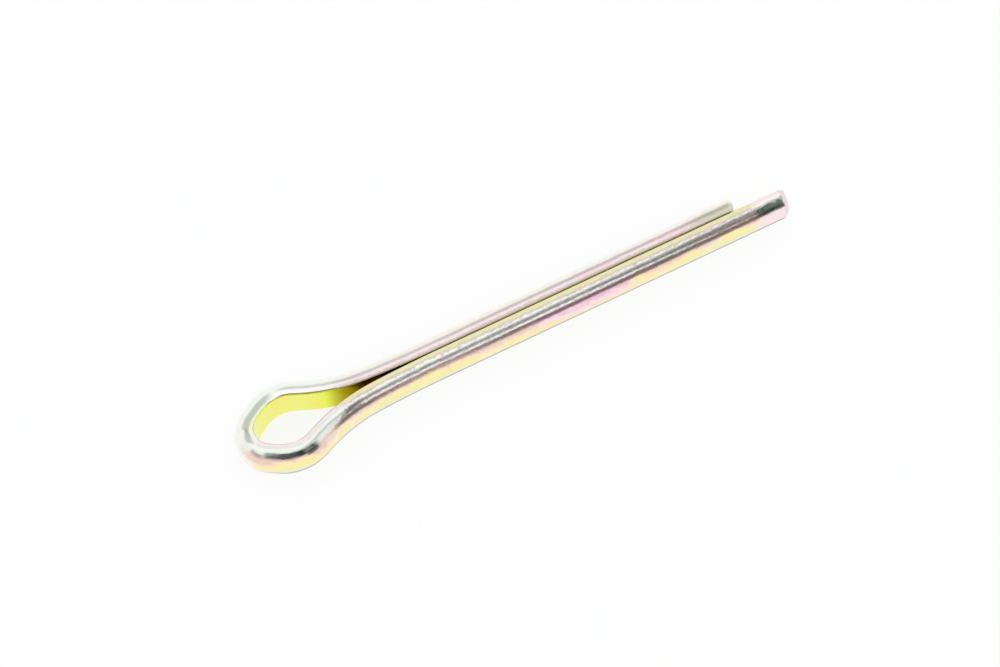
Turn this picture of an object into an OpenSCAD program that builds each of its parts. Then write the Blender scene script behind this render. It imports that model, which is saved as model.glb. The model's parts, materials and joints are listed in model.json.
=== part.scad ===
// Cotter pin (split pin): one length of half-round wire, folded back on itself.
// The fold is opened into an eye, and the two prongs lie flat to flat, so that
// together they make one round shank. The origin is on the shank's axis, where
// the neck of the eye ends and the straight shank begins. +X runs towards the
// tips, the long prong is on the -Y side, and the eye lies flat in the XY plane.

/* [Shank] */
// Diameter of the round shank that the two prongs make together
shank_d = 4.6; // [3.6:0.1:6]
// Gap between the flat faces of the two prongs
prong_gap = 0.2; // [0.1:0.05:0.5]
// Length of the long prong, from the neck to its tip
long_prong = 49.4; // [20:0.1:90]
// Length of the short prong, from the neck to its tip, along its flat face
short_prong = 43.4; // [16:0.1:86]

/* [Wire] */
// Rounding of the two corners where the wire's flat face meets its round back
corner_r = 0.2; // [0.15:0.05:0.5]
// Length of the bevel around each tip, along the prong
tip_bevel_len = 0.5; // [0.3:0.1:1]
// Depth of the bevel around each tip, across the prong
tip_bevel_depth = 0.3; // [0.2:0.05:0.5]
// Slant of the short prong's cut: its round back reaches further than its flat face
short_tip_slant = 20; // [0:1:30]

/* [Eye] */
// Widest inside width of the eye
eye_w = 5.2; // [4.4:0.05:7]
// Bend radius of each neck, measured to the wire's flat face
neck_r = 15.1; // [10:0.1:22]
// Bend radius of each cheek, measured to the wire's flat face
cheek_r = 3.7; // [2.6:0.1:5]
// Angle between each flank and the shank's axis, where the flank leaves the cheek
flank_angle = 30.5; // [26:0.5:36]
// Radius of the slight bow in each flank, measured to the wire's flat face
flank_r = 30; // [20:1:80]
// Bend radius of the nose, measured to the wire's flat face
nose_r = 1.75; // [1.4:0.05:2.2]

/* [Hidden] */
$fn = 96;

shank_r = shank_d / 2;
flat_y = prong_gap / 2;

// Centres of the four arcs that touch end to end, from the shank to the nose
neck_c = [0, flat_y + neck_r];
cheek_y = eye_w / 2 - cheek_r;
cheek_c = [-sqrt(pow(neck_r + cheek_r, 2) - pow(neck_c.y - cheek_y, 2)), cheek_y];
flank_c = cheek_c - (flank_r - cheek_r) * [-sin(flank_angle), cos(flank_angle)];
nose_c = [flank_c.x - sqrt(pow(flank_r - nose_r, 2) - pow(flank_c.y, 2)), 0];

// Directions in which the arcs meet: neck and cheek, cheek and flank, flank and nose
neck_dir = unit(neck_c - cheek_c);
cheek_dir = unit(cheek_c - flank_c);
flank_dir = unit(nose_c - flank_c);
function unit(v) = v / norm(v);

// How far the line on which two arcs meet runs inside the eye, and past the wire
inner_reach = 1;
outer_reach = 1.5 * shank_d;
function inner(centre, radius, dir) = centre + (radius - inner_reach) * dir;
function outer(centre, radius, dir) = centre + (radius + outer_reach) * dir;

// The corner's rounding circle, set in a little so that it cuts both faces cleanly
corner_in = 0.97 * corner_r;
corner_y = sqrt(pow(shank_r - corner_in, 2) - pow(flat_y + corner_in, 2));
corner_slope = atan2(corner_y, flat_y + corner_in);

// Half-round section of the wire: flat face on the Y axis, round back towards +X
module wire_section() {
    difference() {
        intersection() {
            translate([-flat_y, 0]) circle(r = shank_r);
            translate([0, -shank_r]) square([shank_d, shank_d]);
        }
        corner_waste();
        mirror([0, 1]) corner_waste();
    }
}

// What the rounding takes off the section's upper corner
module corner_waste() {
    top = shank_d * sin(corner_slope);
    translate([corner_in, corner_y]) difference() {
        polygon([[0, 0], [shank_d * cos(corner_slope), top], [-shank_d, top], [-shank_d, 0]]);
        circle(r = corner_r);
    }
}

// Moves in a coarse step and a fine one, so that the arcs touch to the last digit
module at(point) {
    coarse = [for (c = point) round(c * 1000) / 1000];
    translate(coarse) translate(point - coarse) children();
}

// Ring of wire with its flat face on the inside, trimmed to the outline
module flat_in_arc(centre, radius, outline) {
    intersection() {
        at(centre) rotate_extrude() translate([radius, 0]) wire_section();
        linear_extrude(height = 2 * shank_d, center = true) polygon(outline);
    }
}

// Ring of wire with its flat face on the outside, trimmed to the outline
module flat_out_arc(centre, radius, outline) {
    intersection() {
        at(centre) rotate_extrude() translate([radius, 0]) mirror([1, 0]) wire_section();
        linear_extrude(height = 2 * shank_d, center = true) polygon(outline);
    }
}

// Half of the eye on the +Y side, from the shank to the middle of the nose
module half_eye() {
    shank_in = [0, flat_y - inner_reach];
    shank_out = [0, flat_y + outer_reach];
    neck_in = inner(cheek_c, cheek_r, neck_dir);
    neck_out = outer(cheek_c, cheek_r, neck_dir);
    cheek_in = inner(cheek_c, cheek_r, cheek_dir);
    cheek_out = outer(cheek_c, cheek_r, cheek_dir);
    flank_in = inner(nose_c, nose_r, flank_dir);
    flank_out = outer(nose_c, nose_r, flank_dir);
    nose_in = inner(nose_c, nose_r, [-1, 0]);
    nose_out = outer(nose_c, nose_r, [-1, 0]);
    flat_out_arc(neck_c, neck_r, [shank_in, shank_out, neck_out, neck_in]);
    flat_in_arc(cheek_c, cheek_r, [neck_in, neck_out, cheek_out, cheek_in]);
    flat_in_arc(flank_c, flank_r, [cheek_in, cheek_out, flank_out, flank_in]);
    flat_in_arc(nose_c, nose_r, [flank_in, flank_out, nose_out, nose_in]);
}

// Straight prong on the +Y side, cut off and bevelled at the given slant
module prong(length, slant) {
    spare = shank_d * (1 + tan(slant));
    difference() {
        translate([0, flat_y, 0]) rotate([90, 0, 90])
            linear_extrude(height = length + spare) wire_section();
        translate([length, 0, 0]) rotate([0, 0, -slant]) rotate([0, 90, 0])
            rotate_extrude() tip_waste(2 * spare);
    }
}

// What the cut and its bevel take off a tip, in the half plane through the cut's axis
module tip_waste(reach) {
    polygon([
        [0, 0],
        [shank_r - tip_bevel_depth, 0],
        [shank_r + tip_bevel_depth, -2 * tip_bevel_len],
        [2 * shank_d, -2 * tip_bevel_len],
        [2 * shank_d, reach],
        [0, reach]
    ]);
}

module cotter_pin() {
    color("#d8cf8a") {
        half_eye();
        prong(short_prong, short_tip_slant);
        mirror([0, 1, 0]) {
            half_eye();
            prong(long_prong, 0);
        }
    }
}

cotter_pin();
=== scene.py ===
"""Cotter pin: half-round wire folded into an eye and two prongs, plated yellow and lying on a white table.

The wire is one mesh: its half-round section is spun along the straight prongs and the arcs of the eye.
Its plating is iridescent: patches of yellow, rose and green follow the wire round the fold. Its dark bands,
rims and shut flat faces are painted shade and reflection.
"""

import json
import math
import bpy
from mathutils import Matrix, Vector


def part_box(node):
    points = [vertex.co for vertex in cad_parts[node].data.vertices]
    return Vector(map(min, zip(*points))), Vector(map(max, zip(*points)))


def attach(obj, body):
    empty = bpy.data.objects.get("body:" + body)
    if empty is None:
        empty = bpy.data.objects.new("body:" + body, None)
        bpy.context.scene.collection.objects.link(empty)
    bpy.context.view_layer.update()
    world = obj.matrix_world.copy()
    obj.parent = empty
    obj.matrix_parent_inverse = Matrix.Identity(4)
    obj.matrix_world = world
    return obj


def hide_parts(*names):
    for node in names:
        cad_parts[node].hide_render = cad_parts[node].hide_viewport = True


bl_info = {
    "name": "Cotter Pin",
    "version": (1, 0, 0),
    "blender": (4, 5, 0),
    "location": "View3D > Sidebar > Cotter Pin",
    "description": "Builds a plated cotter pin, and the table, light and camera around it",
    "category": "Mesh",
}

from typing import NamedTuple

import bmesh
import bpy
from mathutils import Matrix, Vector

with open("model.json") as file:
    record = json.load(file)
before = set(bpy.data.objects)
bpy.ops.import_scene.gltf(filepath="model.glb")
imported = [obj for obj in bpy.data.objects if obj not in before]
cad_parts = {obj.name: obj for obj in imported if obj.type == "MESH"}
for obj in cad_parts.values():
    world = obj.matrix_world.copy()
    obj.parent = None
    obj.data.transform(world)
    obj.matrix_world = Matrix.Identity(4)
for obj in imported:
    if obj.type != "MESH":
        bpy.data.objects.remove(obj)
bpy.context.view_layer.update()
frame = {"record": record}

NODE = "cotter_pin"
BODY = "root"
PIN_LOW, PIN_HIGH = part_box(NODE)
SHANK = next(mount for mount in frame["record"]["mounts"] if mount["name"] == "shank")
MM = 0.001
X_AXIS = Vector((1, 0, 0))
Z_AXIS = Vector((0, 0, 1))


# Sizes and colours that a user would change


def length(name, description, millimetres):
    """A length property whose default is given in millimetres."""
    return bpy.props.FloatProperty(
        name=name,
        description=description,
        default=millimetres * MM,
        min=0,
        precision=5,
        subtype="DISTANCE",
        unit="LENGTH",
    )


def angle(name, description, degrees):
    """An angle property whose default is given in degrees."""
    return bpy.props.FloatProperty(
        name=name, description=description, default=math.radians(degrees), subtype="ANGLE", unit="ROTATION"
    )


def share(name, description, default):
    """A property that goes from 0 to 1."""
    return bpy.props.FloatProperty(
        name=name, description=description, default=default, min=0, max=1, subtype="FACTOR"
    )


def colour(name, description, default):
    """A linear colour property."""
    return bpy.props.FloatVectorProperty(
        name=name, description=description, default=default, min=0, max=1, size=3, subtype="COLOR"
    )


class PinShape(bpy.types.PropertyGroup):
    """Sizes of the folded wire."""

    shank_r: length("Shank radius", "Radius of the shank that the two prongs make", SHANK["dims"]["r_mm"])
    gap: length("Prong gap", "Gap between the flat faces of the two prongs", 0.05)
    corner_r: length("Corner radius", "Rounding where the wire's flat face meets its round back", 0.2)
    long_prong: length("Long prong", "From the neck to the tip of the long prong", PIN_HIGH.x / MM)
    short_prong: length("Short prong", "From the neck to the short prong's tip, along its flat face", 43.4)
    eye_w: length("Eye width", "Widest inside width of the eye", 5.08)
    spring_x: length("Spring start", "Where the prongs start to spring apart, from the neck", 7.6)
    spring_r: length("Spring radius", "Radius of the slight bow with which each prong springs open", 150)
    spring_turn: angle("Spring turn", "Turn of that bow", 3)
    neck_r: length("Neck radius", "Bend radius of each neck, at the wire's flat face", 20)
    cheek_r: length("Cheek radius", "Bend radius of each cheek, at the wire's flat face", 3.6)
    flank_angle: angle("Flank angle", "Angle of each flank to the shank, where it leaves the cheek", 30.5)
    flank_r: length("Flank radius", "Radius of each flank's slight bow, at the wire's flat face", 30)
    nose_r: length("Nose radius", "Bend radius of the nose, at the wire's flat face", 1.75)
    bevel_length: length("Bevel length", "Length of the bevel around each tip", 0.5)
    bevel_depth: length("Bevel depth", "Depth of the bevel around each tip", 0.3)
    slant: angle("Short tip slant", "Slant of the short prong's cut", 20)


class PinFinish(bpy.types.PropertyGroup):
    """Colours and grain of the plating, and the painted shade and reflections laid into its colours."""

    # Zinc and dull are partly the plating's own colour and partly painted shade: the table's shadow,
    # mirrored by the low edge.
    zinc: colour("Zinc", "Plating that has hardly any film", (0.66, 0.66, 0.63))
    dull: colour("Dull", "Dull film low on the side of the wire", (0.89, 0.86, 0.75))
    frost: colour("Frost", "Greenish white film where the wire is rubbed", (0.90, 0.94, 0.86))
    white: colour("White", "Bare, bright plating", (0.99, 0.98, 0.95))
    cream: colour("Cream", "Cream film on the far side", (0.93, 0.89, 0.78))
    celery: colour("Celery", "Greenish film beside the nose of the eye", (0.84, 0.93, 0.76))
    straw: colour("Straw", "Straw film beside the gap", (0.83, 0.79, 0.48))
    sand: colour("Sand", "Sand film between straw and lilac", (0.68, 0.60, 0.50))
    yellow: colour("Yellow", "Yellow film", (0.98, 0.88, 0.42))
    lemon: colour("Lemon", "Greenish yellow film", (0.92, 0.90, 0.40))
    peach: colour("Peach", "Peach film", (0.99, 0.79, 0.55))
    rose: colour("Rose", "Rose film", (0.99, 0.71, 0.76))
    blush: colour("Blush", "Pale rose film", (0.96, 0.80, 0.82))
    tan: colour("Tan", "Tan film beyond the peach", (0.84, 0.62, 0.54))
    russet: colour("Russet", "Russet film at the foot of the eye's pale film", (0.86, 0.60, 0.55))
    orchid: colour("Orchid", "Purplish pink film beyond the rose", (0.90, 0.57, 0.68))
    # Ash is painted reflection: it darkens the band where the things standing round the table are mirrored.
    ash: colour("Ash", "Ash-grey film in the dark band", (0.50, 0.46, 0.46))
    lilac: colour("Lilac", "Lilac film", (0.80, 0.72, 0.75))
    mint: colour("Mint", "Mint film", (0.74, 0.81, 0.74))
    # Dusk is painted reflection of the dark things round the table: a band near the long tip and the neck,
    # and speckles.
    dusk: colour("Dusk", "Brownish grey film and stains in the dark band", (0.50, 0.43, 0.38))
    stone: colour("Stone", "Greenish grey film on the short tip", (0.66, 0.64, 0.53))
    # Slate and ink are painted reflection: dark bands where the things round the table are mirrored, on the
    # long tip and the eye.
    slate: colour("Slate", "Grey-green film of the long tip and a blot on the eye", (0.20, 0.25, 0.19))
    ink: colour("Ink", "Darkest film on the long tip", (0.14, 0.17, 0.13))
    # Umber is painted shade: the dark rim on the eye's far side and the crotch of the flat face.
    umber: colour("Umber", "Dark film on the eye's far rim and where flat faces part", (0.30, 0.22, 0.09))
    lime: colour("Lime", "Film on the wire's flat face, where nothing has rubbed it", (0.92, 0.97, 0.18))
    gold: colour("Gold", "Warmer film on the wire's flat face", (0.97, 0.92, 0.18))
    # Amber, olive and bronze are painted shade on the flat faces, where they lie shut together and in the
    # crotch.
    amber: colour("Amber", "Film where the lime turns dark", (0.50, 0.42, 0.12))
    olive: colour("Olive", "Film on the flat faces that are shut against each other", (0.72, 0.70, 0.42))
    bronze: colour("Bronze", "Dark film on the flat faces near where they part", (0.60, 0.47, 0.22))
    # Glancing is painted shade: it dims glancing light on the low near edge and on the flat face in the
    # crotch.
    glancing: colour("Glancing", "What the near low edge keeps of glancing light", (0.35, 0.35, 0.33))
    roughness: share("Roughness", "Roughness of the plating", 0.11)
    patchiness: bpy.props.FloatProperty(
        name="Patchiness",
        description="How far patches shift the film's colours, in degrees round the wire",
        default=60,
        min=0,
    )


class Studio(bpy.types.PropertyGroup):
    """Table, light and camera."""

    floor_size: length("Floor size", "Side of the table's square top", 3000)
    floor_colour: colour("Floor colour", "Colour of the table", (0.97, 0.975, 0.99))
    evenness: share("Evenness", "Share of the table that is lit evenly and takes no shadow", 0.88)
    target_x: length("Target along the shank", "What the camera looks at, from the neck", 15.19)
    target_y: length("Target across the shank", "What the camera looks at, from the shank's axis", 0.39)
    azimuth: angle("Camera azimuth", "Direction of the camera, turned from behind the eye", 62.8)
    elevation: angle("Camera elevation", "Height of the camera above the table, as an angle", 65.9)
    distance: length("Camera distance", "From the camera to its target", 180.5)
    lens: bpy.props.FloatProperty(
        name="Lens",
        description="Focal length on a sensor 36 mm wide",
        default=60.62,
        subtype="DISTANCE_CAMERA",
    )


# The folded wire

CORNER_STEPS = 8
BACK_STEPS = 64
FLAT_CUTS = 12
PRONG_STEP = 1.0 * MM
ARC_STEP = math.radians(2.5)
# The stretch behind each bevel, which the slant of the tip shears
TIP_ZONE = 3 * MM
EDGE_ROUNDING = 0.06 * MM
EDGE_SEGMENTS = 3
# The attribute that holds where each point lay on the straight wire
UNBENT = "unbent"


def new_object(name, bm, *materials):
    """A mesh object at the origin, made from bm, with smooth faces."""
    mesh = bpy.data.meshes.new(name)
    bm.to_mesh(mesh)
    bm.free()
    mesh.polygons.foreach_set("use_smooth", [True] * len(mesh.polygons))
    for material in materials:
        mesh.materials.append(material)
    piece = bpy.data.objects.new(name, mesh)
    bpy.context.scene.collection.objects.link(piece)
    return piece


def eye_arcs(shape):
    """The arcs of the eye from the long prong to the short one, each as (centre, radius, turn)."""
    neck_to_cheek = shape.neck_r + shape.cheek_r
    cheek_to_flank = shape.flank_r - shape.cheek_r
    flank_to_nose = shape.flank_r - shape.nose_r
    spring = Vector((shape.spring_x, shape.gap / 2 + shape.spring_r, 0))
    spring_lean = Vector((math.sin(shape.spring_turn), math.cos(shape.spring_turn), 0))
    neck = spring - (shape.spring_r - shape.neck_r) * spring_lean
    cheek_y = shape.eye_w / 2 - shape.cheek_r
    slope = math.acos((neck.y - cheek_y) / neck_to_cheek)
    cheek = Vector((neck.x - neck_to_cheek * math.sin(slope), cheek_y, 0))
    flank_lean = Vector((math.sin(shape.flank_angle), -math.cos(shape.flank_angle), 0))
    flank = cheek + cheek_to_flank * flank_lean
    flank_end = math.acos(-flank.y / flank_to_nose)
    nose = Vector((flank.x - flank_to_nose * math.sin(flank_end), 0, 0))
    far_side = [
        (nose, shape.nose_r, 2 * flank_end - math.pi),
        (flank, shape.flank_r, shape.flank_angle - flank_end),
        (cheek, shape.cheek_r, -slope - shape.flank_angle),
        (neck, shape.neck_r, slope - shape.spring_turn),
        (spring, shape.spring_r, shape.spring_turn),
    ]
    near_side = [(Vector((c.x, -c.y, 0)), r, turn) for c, r, turn in reversed(far_side[1:])]
    return near_side + far_side


def spin(bm, geometry, centre, turn, axis=Z_AXIS, move=Vector()):
    """Extrudes geometry by one step that turns it about centre and moves it. Returns the new geometry."""
    step = bmesh.ops.spin(
        bm, geom=geometry, cent=centre, axis=axis, dvec=move, angle=turn, steps=1, use_merge=False
    )
    return step["geom_last"]


def verts_of(geometry):
    """The vertices among some geometry."""
    return [part for part in geometry if isinstance(part, bmesh.types.BMVert)]


def edges_of(geometry):
    """The edges among some geometry."""
    return [part for part in geometry if isinstance(part, bmesh.types.BMEdge)]


def wire_section(bm, shape, x):
    """The half-round section of the long prong at x, as a closed loop of vertices and edges."""
    flat_y = shape.gap / 2
    corner_y = flat_y + shape.corner_r
    corner_z = math.sqrt((shape.shank_r - shape.corner_r) ** 2 - corner_y**2)
    slope = math.atan2(corner_z, corner_y)
    first = bm.verts.new((x, -flat_y, -corner_z))
    last = first
    for centre, turn, steps in (
        (Vector((x, -corner_y, -corner_z)), math.pi - slope, CORNER_STEPS),
        (Vector((x, 0, 0)), 2 * slope, BACK_STEPS),
        (Vector((x, -corner_y, corner_z)), math.pi - slope, CORNER_STEPS),
    ):
        for _ in range(steps):
            last = verts_of(spin(bm, [last], centre, -turn / steps, X_AXIS))[0]
    flat = bm.edges.new((last, first))
    bmesh.ops.subdivide_edges(bm, edges=[flat], cuts=FLAT_CUTS)
    return bm.verts[:] + bm.edges[:]


def close_tip(bm, shape, tip, inner, side, slant):
    """Slants the last two rings of a prong, narrows the last one by the bevel and closes it."""
    flat_y = side * shape.gap / 2
    lean = side * math.tan(slant)
    shear = Matrix(((1, lean, 0, -lean * flat_y), (0, 1, 0, 0), (0, 0, 1, 0), (0, 0, 0, 1)))
    bmesh.ops.transform(bm, matrix=shear, verts=verts_of(tip) + verts_of(inner))
    narrow = 1 - shape.bevel_depth / (shape.shank_r - shape.gap / 2)
    about_flat = Matrix.Translation((0, -flat_y, 0))
    bmesh.ops.scale(bm, vec=(1, narrow, narrow), space=about_flat, verts=verts_of(tip))
    bmesh.ops.contextual_create(bm, geom=edges_of(tip))
    bmesh.ops.bevel(
        bm,
        geom=edges_of(tip) + edges_of(inner),
        affect="EDGES",
        offset=EDGE_ROUNDING,
        segments=EDGE_SEGMENTS,
        profile=0.5,
        loop_slide=True,
        material=-1,
    )


def straight(reach, ends, direction):
    """The steps of a straight prong, from its tip to its spring, each as (centre, turn, move, distance)."""
    rest = reach - sum(ends)
    count = round(rest / PRONG_STEP)
    steps = ends + count * [rest / count]
    return [(Vector(), 0, direction * step * X_AXIS, step) for step in steps]


def sweep_wire(shape):
    """The whole wire as a bmesh. Each vertex keeps its place along, outward and up the straight wire."""
    bm = bmesh.new()
    unbent = bm.verts.layers.float_vector.new(UNBENT)
    ends = [shape.bevel_length, TIP_ZONE]
    steps = straight(shape.long_prong - shape.spring_x, ends, -1)
    for centre, radius, turn in eye_arcs(shape):
        count = math.ceil(max(abs(turn) / ARC_STEP, radius * abs(turn) / PRONG_STEP))
        steps += count * [(centre, turn / count, Vector(), radius * abs(turn) / count)]
    steps += straight(shape.short_prong - shape.spring_x, ends, 1)[::-1]
    rings = [wire_section(bm, shape, shape.long_prong)]
    for vert in bm.verts:
        vert[unbent] = (0, -vert.co.y - shape.gap / 2, vert.co.z)
    place = 0
    for centre, turn, move, distance in steps:
        rings.append(spin(bm, rings[-1], centre, turn, Z_AXIS, move))
        place += distance
        for vert in verts_of(rings[-1]):
            vert[unbent].x = place
    close_tip(bm, shape, rings[0], rings[1], -1, 0)
    close_tip(bm, shape, rings[-1], rings[-2], 1, shape.slant)
    bmesh.ops.recalc_face_normals(bm, faces=bm.faces[:])
    return bm


# Shader nodes


def node(tree, kind, inputs=None, out=0, **settings):
    """Adds a node whose inputs take numbers or the outputs of other nodes. Returns one of its outputs."""
    made = tree.nodes.new(kind)
    for name, value in settings.items():
        setattr(made, name, value)
    for name, value in (inputs or {}).items():
        socket = made.inputs[name]
        if isinstance(value, bpy.types.NodeSocket):
            tree.links.new(value, socket)
        else:
            socket.default_value = value
    return made.outputs[out]


def calculate(tree, operation, *values):
    """The result of a math node over sockets or numbers."""
    return node(tree, "ShaderNodeMath", dict(enumerate(values)), operation=operation)


def total(tree, *values):
    """The sum of sockets or numbers."""
    result = values[0]
    for value in values[1:]:
        result = calculate(tree, "ADD", result, value)
    return result


def product(tree, *values):
    """The product of sockets or numbers."""
    result = values[0]
    for value in values[1:]:
        result = calculate(tree, "MULTIPLY", result, value)
    return result


def rise(tree, value, low, high, start=0.0, end=1.0):
    """A smooth change from start to end as value goes from low to high."""
    inputs = {"Value": value, "From Min": low, "From Max": high, "To Min": start, "To Max": end}
    return node(tree, "ShaderNodeMapRange", inputs, interpolation_type="SMOOTHSTEP")


def fall(tree, value, low, high):
    """A smooth change from 1 to 0 as value goes from low to high."""
    return rise(tree, value, low, high, 1.0, 0.0)


def window(tree, value, low, high, low_edge, high_edge=None):
    """1 where value lies between low and high, with edges that are this soft."""
    high_edge = low_edge if high_edge is None else high_edge
    opens = rise(tree, value, low - low_edge / 2, low + low_edge / 2)
    closes = fall(tree, value, high - high_edge / 2, high + high_edge / 2)
    return product(tree, opens, closes)


def blend(tree, factor, first, second):
    """A mix of two colours."""
    made = tree.nodes.new("ShaderNodeMix")
    made.data_type = "RGBA"
    sockets = {socket.identifier: socket for socket in made.inputs}
    for name, value in (("Factor_Float", factor), ("A_Color", first), ("B_Color", second)):
        if isinstance(value, bpy.types.NodeSocket):
            tree.links.new(value, sockets[name])
        else:
            sockets[name].default_value = (*value, 1) if name != "Factor_Float" else value
    return next(socket for socket in made.outputs if socket.identifier == "Result_Color")


def ramp(tree, value, low, high, stops):
    """A colour ramp over value, through (value, colour) stops that lie between low and high."""
    made = tree.nodes.new("ShaderNodeValToRGB")
    elements = made.color_ramp.elements
    while len(elements) < len(stops):
        elements.new(1.0)
    for element, (place, rgb) in zip(elements, stops):
        element.position = (place - low) / (high - low)
        element.color = (*rgb, 1)
    scaled = node(tree, "ShaderNodeMapRange", {"Value": value, "From Min": low, "From Max": high})
    tree.links.new(scaled, made.inputs["Fac"])
    return made.outputs["Color"]


def grain(tree, place, stretch, detail, roughness, shift):
    """Noise from 0 to 1, with this many waves per metre along, outward and up the wire."""
    moved = node(tree, "ShaderNodeMapping", {"Vector": place, "Scale": stretch, "Location": shift})
    inputs = {"Vector": moved, "Scale": 1.0, "Detail": detail, "Roughness": roughness}
    return node(tree, "ShaderNodeTexNoise", inputs)


def unevenness(tree, place, noise):
    """The same noise from -0.5 to 0.5."""
    return calculate(tree, "SUBTRACT", grain(tree, place, *noise), 0.5)


# Noise in the plating: waves per metre along, outward and up the wire, detail, roughness and shift

PATCHES = ((330, 260, 260), 2.0, 0.55, (0.0, 0.0, 0.0))
STREAKS = ((2600, 900, 900), 3.0, 0.6, (3.0, 0.0, 0.0))
FLECKS = ((1500, 3800, 3800), 3.0, 0.65, (7.0, 0.0, 0.0))
DRAWN_LINES = ((350, 4200, 4200), 4.0, 0.6, (9.0, 0.0, 0.0))
PITS = ((1700, 4500, 4500), 3.0, 0.65, (5.0, 0.0, 0.0))

# Film colours round the wire's back, by the angle in degrees from straight outward (0) to straight up (90)

FILM_ANGLES = (-40, 90)
# The low side's zinc and dull are partly the plating's own colour and partly painted shade of the table's
# mirrored shadow.
LOW_SIDE = (
    (-14, "zinc"),
    (-4, "dull"),
    (3, "dull"),
)
# Ash here is painted reflection of the things round the table, darkening the band that they make.
UPPER_SIDE = (
    (51, "white"),
    (53.5, "blush"),
    (58.5, "ash"),
    (62.5, "mint"),
    (65.5, "frost"),
    (68, "white"),
    (71, "lilac"),
    (74.5, "sand"),
    (78.5, "straw"),
)
PRONG_FILM = (
    *LOW_SIDE,
    (15, "lemon"),
    (22, "yellow"),
    (27, "yellow"),
    (35, "peach"),
    (43, "tan"),
    (47.5, "tan"),
    *UPPER_SIDE,
)
ROSY_FILM = (
    *LOW_SIDE,
    (13, "yellow"),
    (21, "peach"),
    (30, "blush"),
    (37, "rose"),
    (43, "orchid"),
    (47.5, "orchid"),
    *UPPER_SIDE,
)
EYE_FILM = (
    (48, "russet"),
    (53, "mint"),
    (62, "frost"),
    (72, "frost"),
    (77, "mint"),
    (82, "blush"),
)
RING_FILM = (
    *LOW_SIDE,
    (10, "yellow"),
    (17, "yellow"),
    (30, "white"),
    (40, "frost"),
    (66, "frost"),
    (72, "white"),
)
FAR_FILM = (
    *LOW_SIDE,
    (8, "yellow"),
    (16, "yellow"),
    (26, "cream"),
    (36, "white"),
    (39, "white"),
    (49, "cream"),
    (58, "cream"),
    (65, "lilac"),
    (69, "lilac"),
    (73.5, "blush"),
    (78, "blush"),
    (82, "sand"),
)
SHORT_TIP_FILM = (
    (-14, "zinc"),
    (0, "dull"),
    (12, "cream"),
    (52, "cream"),
    (62, "stone"),
)
# On the long tip, slate and ink are painted reflection of the dark things round the table.
LONG_TIP_FILM = (
    (-20, "zinc"),
    (0, "dull"),
    (12, "blush"),
    (40, "blush"),
    (45, "slate"),
    (52, "ink"),
    (62, "ink"),
    (67, "mint"),
    (74, "white"),
    (80, "blush"),
)

# Where on the wire the films lie. Places are in mm along the wire from the long prong's tip, and angles in
# degrees round its back. Two numbers are where a change starts and ends, and three are a window: where it
# opens, where it closes and how soft its edges are.

WIRE_END = 123
LILAC_END = (0.5, 0.8)
LONG_TIP_END = (3.2, 5.0)
ROSY_PLACES = (20, 31, 5)
PALE_ANGLES = (34, 46)
# Where dusk paints a band of dark reflection, near the long tip and at the neck
PAINTED_BAND_PRONG = (9, 16)
PAINTED_BAND_NECK = (51.5, 55, 1.5)
PAINTED_BAND_ANGLES = (51, 66, 5)
# Where the speckles of stains and painted shade lie round the back
STAIN_AND_SHADE_ANGLES = (42, 74, 8)
EYE_START = (53.2, 54.6)
EYE_ANGLES = (44, 56)
# Where slate paints a dark reflection on the eye
PAINTED_REFLECTION_PLACES = (57.9, 59.6, 0.8)
PAINTED_REFLECTION_ANGLES = (46, 60, 5)
RING_START = (62.4, 64.2)
CELERY_PLACES = (63.5, 68, 1.5)
CELERY_ANGLES = (60, 68)
FAR_START = (72.5, 77)
PINK_PLACES = ((103, 108, 3), (113.5, 117.5, 2))
PINK_ANGLES = (70, 81, 4)
SHORT_TIP_START = (114.5, 119)

# How far patches and streaks move the ends of a film along the wire, in mm per unit of noise
RAGGEDNESS = 4.0
# How much further along the wire a point of the eye counts as lying, in mm: it goes from the third number
# to the fourth between the first two, which are angles
EYE_SLANT = (46, 68, -1.0, 1.0)
# How far flecks move the foot of the eye's pale film, in degrees per unit of noise
EYE_FLECKS = 10.0
# The noise between which pale patches and the speckles of stains and painted shade set in, and how strong
# they are at its two ends
PALE_NOISE = (-0.02, 0.16, 0.0, 0.3)
STAIN_AND_SHADE_NOISE = (0.0, 0.3, 0.0, 0.5)

# How far the film's colours slide round the wire, in degrees, at places along it
FILM_SLIDE = (
    (0, 14),
    (4, 12),
    (7, -4),
    (12, 6),
    (19, 10),
    (25, 16),
    (32, 10),
    (38, 7),
    (43, 2),
    (47, 1),
    (52, 2),
    (55, -4),
    (58, 12),
    (60, 6),
    (63, 12),
    (80, 0),
    (95, 4),
    (108, -4),
    (WIRE_END, 0),
)
# The largest slide that their ramp can hold
SLIDE_REACH = 40.0
# How far streaks and flecks slide the colours as well, in degrees per unit of noise
STREAK_SLIDE = 26.0
FLECK_SLIDE = 16.0
# The share of the slide that is left: it goes from the third number to the fourth between the first two,
# which are angles, or places at the tip
LOW_SIDE_HOLD = (-10, 14, 0.1, 1.0)
UPPER_SIDE_HOLD = (36, 48, 1.0, 0.3)
TIP_HOLD = (3, 7, 0.2, 1.0)
# A slide never shows colours from below the first angle above it, nor colours from above the second
# below it
LOW_BARRIER = 15.0
HIGH_BARRIER = 43.0
# On the underside the colours turn back at this many degrees below level
TURNING_ANGLE = 20.0


class Spot(NamedTuple):
    """A point of the plating, as sockets. Its noise goes from -0.5 to 0.5."""

    tree: bpy.types.NodeTree
    place: bpy.types.NodeSocket  # Along the wire from the long prong's tip, in mm
    ragged: bpy.types.NodeSocket  # The same, moved by noise
    depth: bpy.types.NodeSocket  # Outward from the flat face, in mm
    round_back: bpy.types.NodeSocket  # Round the back, in degrees up from straight outward
    film_at: bpy.types.NodeSocket  # The angle whose film colour it has after the slide
    patches: bpy.types.NodeSocket
    streaks: bpy.types.NodeSocket
    flecks: bpy.types.NodeSocket


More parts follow.
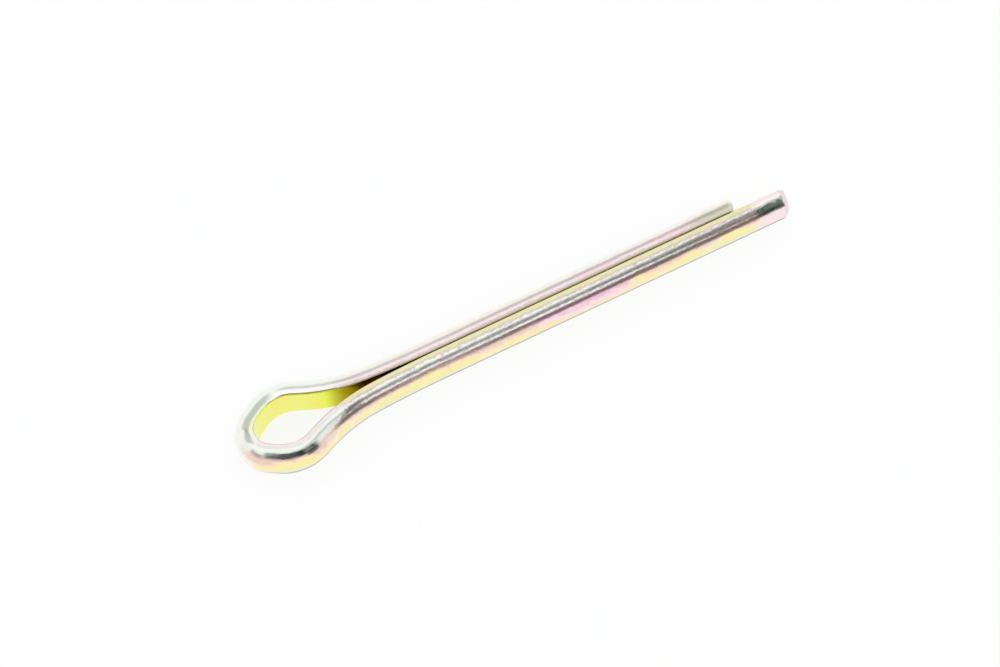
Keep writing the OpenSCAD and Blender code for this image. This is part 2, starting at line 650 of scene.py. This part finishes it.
def slide_at(tree, place):
    """The slide at a place, in degrees. Its ramp is black for -SLIDE_REACH and white for SLIDE_REACH."""
    greys = [(mm, [0.5 + degrees / (2 * SLIDE_REACH)] * 3) for mm, degrees in FILM_SLIDE]
    grey = ramp(tree, place, 0, WIRE_END, greys)
    return product(tree, calculate(tree, "SUBTRACT", grey, 0.5), 2 * SLIDE_REACH)


def slid_angle(tree, place, round_back, slide, flecks):
    """The angle whose film colour a point has."""
    low_hold = rise(tree, round_back, *LOW_SIDE_HOLD)
    upper_hold = rise(tree, round_back, *UPPER_SIDE_HOLD)
    tip_hold = rise(tree, place, *TIP_HOLD)
    film_at = total(tree, round_back, product(tree, slide, low_hold, upper_hold, tip_hold))
    least = calculate(tree, "MINIMUM", round_back, LOW_BARRIER)
    most = calculate(tree, "MAXIMUM", round_back, HIGH_BARRIER)
    film_at = calculate(tree, "MINIMUM", calculate(tree, "MAXIMUM", film_at, least), most)
    return total(tree, film_at, product(tree, flecks, FLECK_SLIDE))


def find_spot(tree, wire, shape, finish):
    """Where a point lies on the straight wire, and what noise it has there."""
    along, outward, up = node(tree, "ShaderNodeSeparateXYZ", {"Vector": wire}).node.outputs
    place = product(tree, along, 1 / MM)
    depth = product(tree, outward, 1 / MM)
    turned = calculate(tree, "ARCTAN2", up, calculate(tree, "ADD", outward, shape.gap / 2))
    angle_up = product(tree, turned, math.degrees(1))
    from_turning = calculate(tree, "ABSOLUTE", calculate(tree, "ADD", angle_up, TURNING_ANGLE))
    round_back = calculate(tree, "SUBTRACT", from_turning, TURNING_ANGLE)
    patches = unevenness(tree, wire, PATCHES)
    streaks = unevenness(tree, wire, STREAKS)
    flecks = unevenness(tree, wire, FLECKS)
    patch_slide = product(tree, patches, finish.patchiness)
    slide = total(tree, slide_at(tree, place), patch_slide, product(tree, streaks, STREAK_SLIDE))
    film_at = slid_angle(tree, place, round_back, slide, flecks)
    ragged = total(tree, place, product(tree, patches, RAGGEDNESS), product(tree, streaks, RAGGEDNESS))
    return Spot(tree, place, ragged, depth, round_back, film_at, patches, streaks, flecks)


def film(spot, finish, stops):
    """The colour of a film whose stops are (angle, name of a colour)."""
    colours = [(degrees, getattr(finish, name)) for degrees, name in stops]
    return ramp(spot.tree, spot.film_at, *FILM_ANGLES, colours)


def prong_film(spot, finish):
    """The near prong's film: rosy for a stretch, pale low patches, a painted dark reflection and speckled
    stains and shade.
    """
    tree = spot.tree
    rosy = window(tree, spot.ragged, *ROSY_PLACES)
    skin = blend(tree, rosy, film(spot, finish, PRONG_FILM), film(spot, finish, ROSY_FILM))
    pale = product(tree, rise(tree, spot.patches, *PALE_NOISE), fall(tree, spot.round_back, *PALE_ANGLES))
    skin = blend(tree, pale, skin, finish.white)
    # A band of painted reflection: the dark things round the table, mirrored near the long tip and at the
    # neck
    painted_band = total(tree, fall(tree, spot.ragged, *PAINTED_BAND_PRONG), window(tree, spot.ragged, *PAINTED_BAND_NECK))
    painted_band = product(tree, painted_band, window(tree, spot.film_at, *PAINTED_BAND_ANGLES))
    skin = blend(tree, painted_band, skin, finish.dusk)
    # Dark speckles over the upper side: partly real stains, partly painted shade that mottles the dark band
    stains_and_shade = rise(tree, total(tree, spot.streaks, spot.flecks), *STAIN_AND_SHADE_NOISE)
    stains_and_shade = product(tree, stains_and_shade, window(tree, spot.round_back, *STAIN_AND_SHADE_ANGLES))
    return blend(tree, stains_and_shade, skin, finish.dusk)


def eye_films(spot, finish, skin):
    """Lays the eye's films over the prong's: its pale near flank, a painted dark reflection, its nose and
    its far side.
    """
    tree = spot.tree
    slanted = total(tree, spot.ragged, rise(tree, spot.round_back, *EYE_SLANT))
    flecked = total(tree, spot.round_back, product(tree, spot.flecks, EYE_FLECKS))
    near_flank = product(tree, rise(tree, slanted, *EYE_START), rise(tree, flecked, *EYE_ANGLES))
    skin = blend(tree, near_flank, skin, film(spot, finish, EYE_FILM))
    # A patch of painted reflection: the dark things round the table, mirrored on the eye
    painted_reflection = window(tree, spot.place, *PAINTED_REFLECTION_PLACES)
    painted_reflection = product(tree, painted_reflection, window(tree, spot.round_back, *PAINTED_REFLECTION_ANGLES))
    skin = blend(tree, painted_reflection, skin, finish.slate)
    skin = blend(tree, rise(tree, spot.ragged, *RING_START), skin, film(spot, finish, RING_FILM))
    green = window(tree, spot.ragged, *CELERY_PLACES)
    green = product(tree, green, rise(tree, spot.round_back, *CELERY_ANGLES))
    skin = blend(tree, green, skin, finish.celery)
    return blend(tree, rise(tree, spot.ragged, *FAR_START), skin, film(spot, finish, FAR_FILM))


def tip_films(spot, finish, skin):
    """Lays the tips' films over the rest, with the long tip's painted reflection, and pink spots over the
    far prong.
    """
    tree = spot.tree
    long_tip = fall(tree, spot.ragged, *LONG_TIP_END)
    skin = blend(tree, long_tip, skin, film(spot, finish, LONG_TIP_FILM))
    pink = total(tree, *(window(tree, spot.ragged, *places) for places in PINK_PLACES))
    pink = product(tree, pink, window(tree, spot.round_back, *PINK_ANGLES))
    skin = blend(tree, pink, skin, finish.rose)
    skin = blend(tree, fall(tree, spot.place, *LILAC_END), skin, finish.lilac)
    short_tip = rise(tree, spot.ragged, *SHORT_TIP_START)
    return blend(tree, short_tip, skin, film(spot, finish, SHORT_TIP_FILM))


# The rim of painted shade beside the flat face on the eye's far side. Its window over depth has two
# softnesses.
RIM_PLACES = (69, 75, 1)
RIM_DEPTHS = (0.115, 0.2, 0.02, 0.05)


def back_film(spot, finish):
    """The film of the round back, with a rim of painted shade on the far side of the eye."""
    tree = spot.tree
    skin = tip_films(spot, finish, eye_films(spot, finish, prong_film(spot, finish)))
    # Umber paints shade along the rim beside the flat face
    rim = product(tree, window(tree, spot.place, *RIM_PLACES), window(tree, spot.depth, *RIM_DEPTHS))
    return blend(tree, rim, skin, finish.umber)


# Film colours of the flat face, by the place along the wire
# Olive, bronze, amber and umber are painted shade, where the flat faces lie shut together and in the
# crotch.
FLAT_FILM = (
    (5, "lime"),
    (7.5, "olive"),
    (34, "olive"),
    (44, "bronze"),
    (49.5, "bronze"),
    (51, "lime"),
    (73.6, "lime"),
    (75.6, "amber"),
    (77.6, "umber"),
    (80, "bronze"),
    (84, "bronze"),
    (92, "olive"),
)
# Where the lime has gold patches, and the noise between which they set in
GOLD_PLACES = (51, 73, 1)
GOLD_NOISE = (-0.15, 0.15)


def flat_film(spot, finish):
    """The film of the flat face, with painted shade where the faces lie shut together and in the crotch."""
    tree = spot.tree
    colours = [(mm, getattr(finish, name)) for mm, name in FLAT_FILM]
    golden = product(tree, rise(tree, spot.patches, *GOLD_NOISE), window(tree, spot.place, *GOLD_PLACES))
    return blend(tree, golden, ramp(tree, spot.place, 0, WIRE_END, colours), finish.gold)


# How far the flat face's film reaches round its corner, in mm, how much further it does on the eye's far
# side, and how soft its end is
FLAT_REACH = 0.04
MORE_REACH = 0.07
MORE_REACH_PLACES = (64, 75.5, 1.5)
FLAT_SOFTNESS = (-0.02, 0.02)


def flat_part(spot):
    """1 on the flat face and 0 on the back."""
    tree = spot.tree
    more = product(tree, window(tree, spot.place, *MORE_REACH_PLACES), MORE_REACH)
    beyond = calculate(tree, "SUBTRACT", spot.depth, total(tree, FLAT_REACH, more))
    return fall(tree, beyond, *FLAT_SOFTNESS)


# Painted shade weakens glancing light low on the near side, for the table's mirrored shadow, and on the
# flat face in the crotch
NEAR_END = (60, 64)
CONTACT_SHADE_ANGLES = (-14, 3)
CROTCH_START = (71, 75)


def glancing_light(spot, finish, flat, flat_colour):
    """What the plating keeps of glancing light, less where painted shade lies on the low near edge and in
    the crotch.
    """
    tree = spot.tree
    # Painted shade on the low near edge, where it mirrors the table's shadow beside the pin
    rubbed = product(tree, fall(tree, spot.round_back, *CONTACT_SHADE_ANGLES), fall(tree, spot.place, *NEAR_END))
    shaded = product(tree, flat, rise(tree, spot.place, *CROTCH_START))
    return blend(tree, shaded, blend(tree, rubbed, (1, 1, 1), finish.glancing), flat_colour)


# How much lines and pits count for in the height of the plating and in its roughness
LINE_HEIGHT = 0.5
PIT_HEIGHT = 0.6
FULL_HEIGHT = 0.015 * MM
PIT_ROUGHNESS = 0.25
LEAST_ROUGHNESS = 0.04


def roughen(tree, wire, shader, roughness):
    """Draws lines along the wire and pits it."""
    lines = grain(tree, wire, *DRAWN_LINES)
    pits = grain(tree, wire, *PITS)
    pitted = product(tree, calculate(tree, "SUBTRACT", pits, 0.5), PIT_ROUGHNESS)
    rough = calculate(tree, "MAXIMUM", total(tree, roughness, pitted), LEAST_ROUGHNESS)
    tree.links.new(rough, shader.inputs["Roughness"])
    height = total(tree, product(tree, lines, LINE_HEIGHT), product(tree, pits, PIT_HEIGHT))
    bump = node(tree, "ShaderNodeBump", {"Height": height, "Distance": FULL_HEIGHT, "Strength": 1.0})
    tree.links.new(bump, shader.inputs["Normal"])


def plating(shape, finish):
    """Zinc plating with an iridescent film, whose colours follow the wire and hold painted shade and
    reflections.
    """
    material = bpy.data.materials.new("yellow_plating")
    material.use_nodes = True
    tree = material.node_tree
    shader = tree.nodes["Principled BSDF"]
    shader.inputs["Metallic"].default_value = 1
    wire = node(tree, "ShaderNodeAttribute", out="Vector", attribute_name=UNBENT)
    spot = find_spot(tree, wire, shape, finish)
    flat = flat_part(spot)
    flat_colour = flat_film(spot, finish)
    skin = blend(tree, flat, back_film(spot, finish), flat_colour)
    tree.links.new(skin, shader.inputs["Base Color"])
    glancing = glancing_light(spot, finish, flat, flat_colour)
    tree.links.new(glancing, shader.inputs["Specular Tint"])
    roughen(tree, wire, shader, finish.roughness)
    return material


class PIN_OT_wire(bpy.types.Operator):
    """Builds the folded half-round wire with its plating"""

    bl_idname = "pin.wire"
    bl_label = "Folded Wire"

    def execute(self, context):
        shape = context.scene.pin_shape
        piece = new_object("folded_wire", sweep_wire(shape), plating(shape, context.scene.pin_finish))
        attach(piece, BODY)
        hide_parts(NODE)
        return {"FINISHED"}


# Table, light and camera

TABLE_ROUGHNESS = 0.9
MIRRORED_EVENNESS = 0.85
CLIP_START = 10 * MM

# What stands round the table and dims the white room, in degrees: the azimuths that it spans and how soft
# its two sides are, the elevations that it spans and how soft its foot and head are, and the share of the
# light that it leaves
SURROUNDINGS = (
    ("person", (-81, -59), (4, 3), (8.5, 31.5), (13, 7), 0.22),
    ("camera", (-140.5, -82), (25, 4), (24, 57.5), (17, 15), 0.10),
    ("arm", (-67.5, -61), (4, 4), (34.5, 50), (5, 5), 0.30),
    ("lamp frame", (-80, -60), (4, 4), (45.5, 59), (5, 9), 0.45),
    ("cupboard", (-61, -24), (6, 6), (49, 61), (8, 8), 0.60),
    ("sleeve", (-178, -145), (12, 12), (18, 38), (14, 14), 0.50),
    ("shelf", (52, 83), (8, 8), (9, 31), (8, 6), 0.72),
    ("window frame", (90, 134), (8, 8), (13, 52), (16, 8), 0.64),
    ("door", (130, 162), (8, 8), (30, 60), (10, 8), 0.60),
)


def table_top(studio):
    """A white table. Camera and metal see it nearly evenly lit, with a trace of the pin's shadow."""
    material = bpy.data.materials.new("table")
    material.use_nodes = True
    tree = material.node_tree
    shader = tree.nodes["Principled BSDF"]
    shader.inputs["Base Color"].default_value = (*studio.floor_colour, 1)
    shader.inputs["Roughness"].default_value = TABLE_ROUGHNESS
    shader.inputs["Specular IOR Level"].default_value = 0.0
    path = node(tree, "ShaderNodeLightPath").node
    seen = product(tree, path.outputs["Is Camera Ray"], studio.evenness)
    mirrored = product(tree, path.outputs["Is Glossy Ray"], MIRRORED_EVENNESS)
    even = calculate(tree, "MAXIMUM", seen, mirrored)
    white = node(tree, "ShaderNodeEmission", {"Color": (1, 1, 1, 1), "Strength": 1.0})
    mixed = tree.nodes.new("ShaderNodeMixShader")
    for socket, value in zip(mixed.inputs, (even, shader.outputs["BSDF"], white)):
        tree.links.new(value, socket)
    tree.links.new(mixed.outputs["Shader"], tree.nodes["Material Output"].inputs["Surface"])
    return material


def room(scene):
    """A white room all round. Only what is mirrored shows the things that stand beside the table."""
    world = bpy.data.worlds.new("room")
    scene.world = world
    world.use_nodes = True
    tree = world.node_tree
    direction = node(tree, "ShaderNodeTexCoord", out="Generated")
    x, y, z = node(tree, "ShaderNodeSeparateXYZ", {"Vector": direction}).node.outputs
    azimuth = product(tree, calculate(tree, "ARCTAN2", y, x), math.degrees(1))
    elevation = product(tree, calculate(tree, "ARCSINE", z), math.degrees(1))
    light = 1.0
    for _, sides, side_edges, heights, height_edges, left_over in SURROUNDINGS:
        across = window(tree, azimuth, *sides, *side_edges)
        upward = window(tree, elevation, *heights, *height_edges)
        dimmed = product(tree, across, upward, 1 - left_over)
        light = product(tree, light, calculate(tree, "SUBTRACT", 1.0, dimmed))
    mirrored = node(tree, "ShaderNodeLightPath", out="Is Glossy Ray")
    plain = calculate(tree, "SUBTRACT", 1.0, mirrored)
    background = tree.nodes["Background"]
    background.inputs["Color"].default_value = (1, 1, 1, 1)
    tree.links.new(calculate(tree, "MAXIMUM", light, plain), background.inputs["Strength"])


def aim_camera(scene, studio, table_z):
    """The camera, turned to its target on the table."""
    camera = bpy.data.cameras.new("camera")
    camera.lens = studio.lens
    camera.clip_start = CLIP_START
    holder = bpy.data.objects.new("camera", camera)
    scene.collection.objects.link(holder)
    target = Vector((studio.target_x, studio.target_y, table_z))
    level = math.cos(studio.elevation)
    along = -level * math.cos(studio.azimuth)
    across = -level * math.sin(studio.azimuth)
    towards = Vector((along, across, math.sin(studio.elevation)))
    holder.location = target + studio.distance * towards
    holder.rotation_euler = towards.to_track_quat("Z", "Y").to_euler()
    scene.camera = holder


class PIN_OT_studio(bpy.types.Operator):
    """Builds the table, the white room and the camera"""

    bl_idname = "pin.studio"
    bl_label = "Table, Light and Camera"

    def execute(self, context):
        scene = context.scene
        studio = scene.pin_studio
        table_z = PIN_LOW.z
        bm = bmesh.new()
        place = Matrix.Translation((0, 0, table_z))
        bmesh.ops.create_grid(bm, x_segments=1, y_segments=1, size=studio.floor_size / 2, matrix=place)
        new_object("table", bm, table_top(studio))
        room(scene)
        aim_camera(scene, studio, table_z)
        scene.view_settings.view_transform = "Standard"
        return {"FINISHED"}


class PIN_PT_panel(bpy.types.Panel):
    """Sizes, finish and studio of the pin"""

    bl_label = "Cotter Pin"
    bl_space_type = "VIEW_3D"
    bl_region_type = "UI"
    bl_category = "Cotter Pin"

    def draw(self, context):
        for group in (context.scene.pin_shape, context.scene.pin_finish, context.scene.pin_studio):
            box = self.layout.box()
            for name in group.bl_rna.properties.keys():
                if name not in ("rna_type", "name"):
                    box.prop(group, name)
        for operator in (PIN_OT_wire, PIN_OT_studio):
            self.layout.operator(operator.bl_idname)


CLASSES = (PinShape, PinFinish, Studio, PIN_OT_wire, PIN_OT_studio, PIN_PT_panel)


def register():
    """Registers the classes and gives the scene its properties."""
    for cls in CLASSES:
        bpy.utils.register_class(cls)
    bpy.types.Scene.pin_shape = bpy.props.PointerProperty(type=PinShape)
    bpy.types.Scene.pin_finish = bpy.props.PointerProperty(type=PinFinish)
    bpy.types.Scene.pin_studio = bpy.props.PointerProperty(type=Studio)


def unregister():
    """Takes the properties and the classes away again."""
    del bpy.types.Scene.pin_studio
    del bpy.types.Scene.pin_finish
    del bpy.types.Scene.pin_shape
    for cls in reversed(CLASSES):
        bpy.utils.unregister_class(cls)


def main():
    register()
    bpy.ops.pin.studio()
    bpy.ops.pin.wire()


if __name__ == "__main__":
    main()
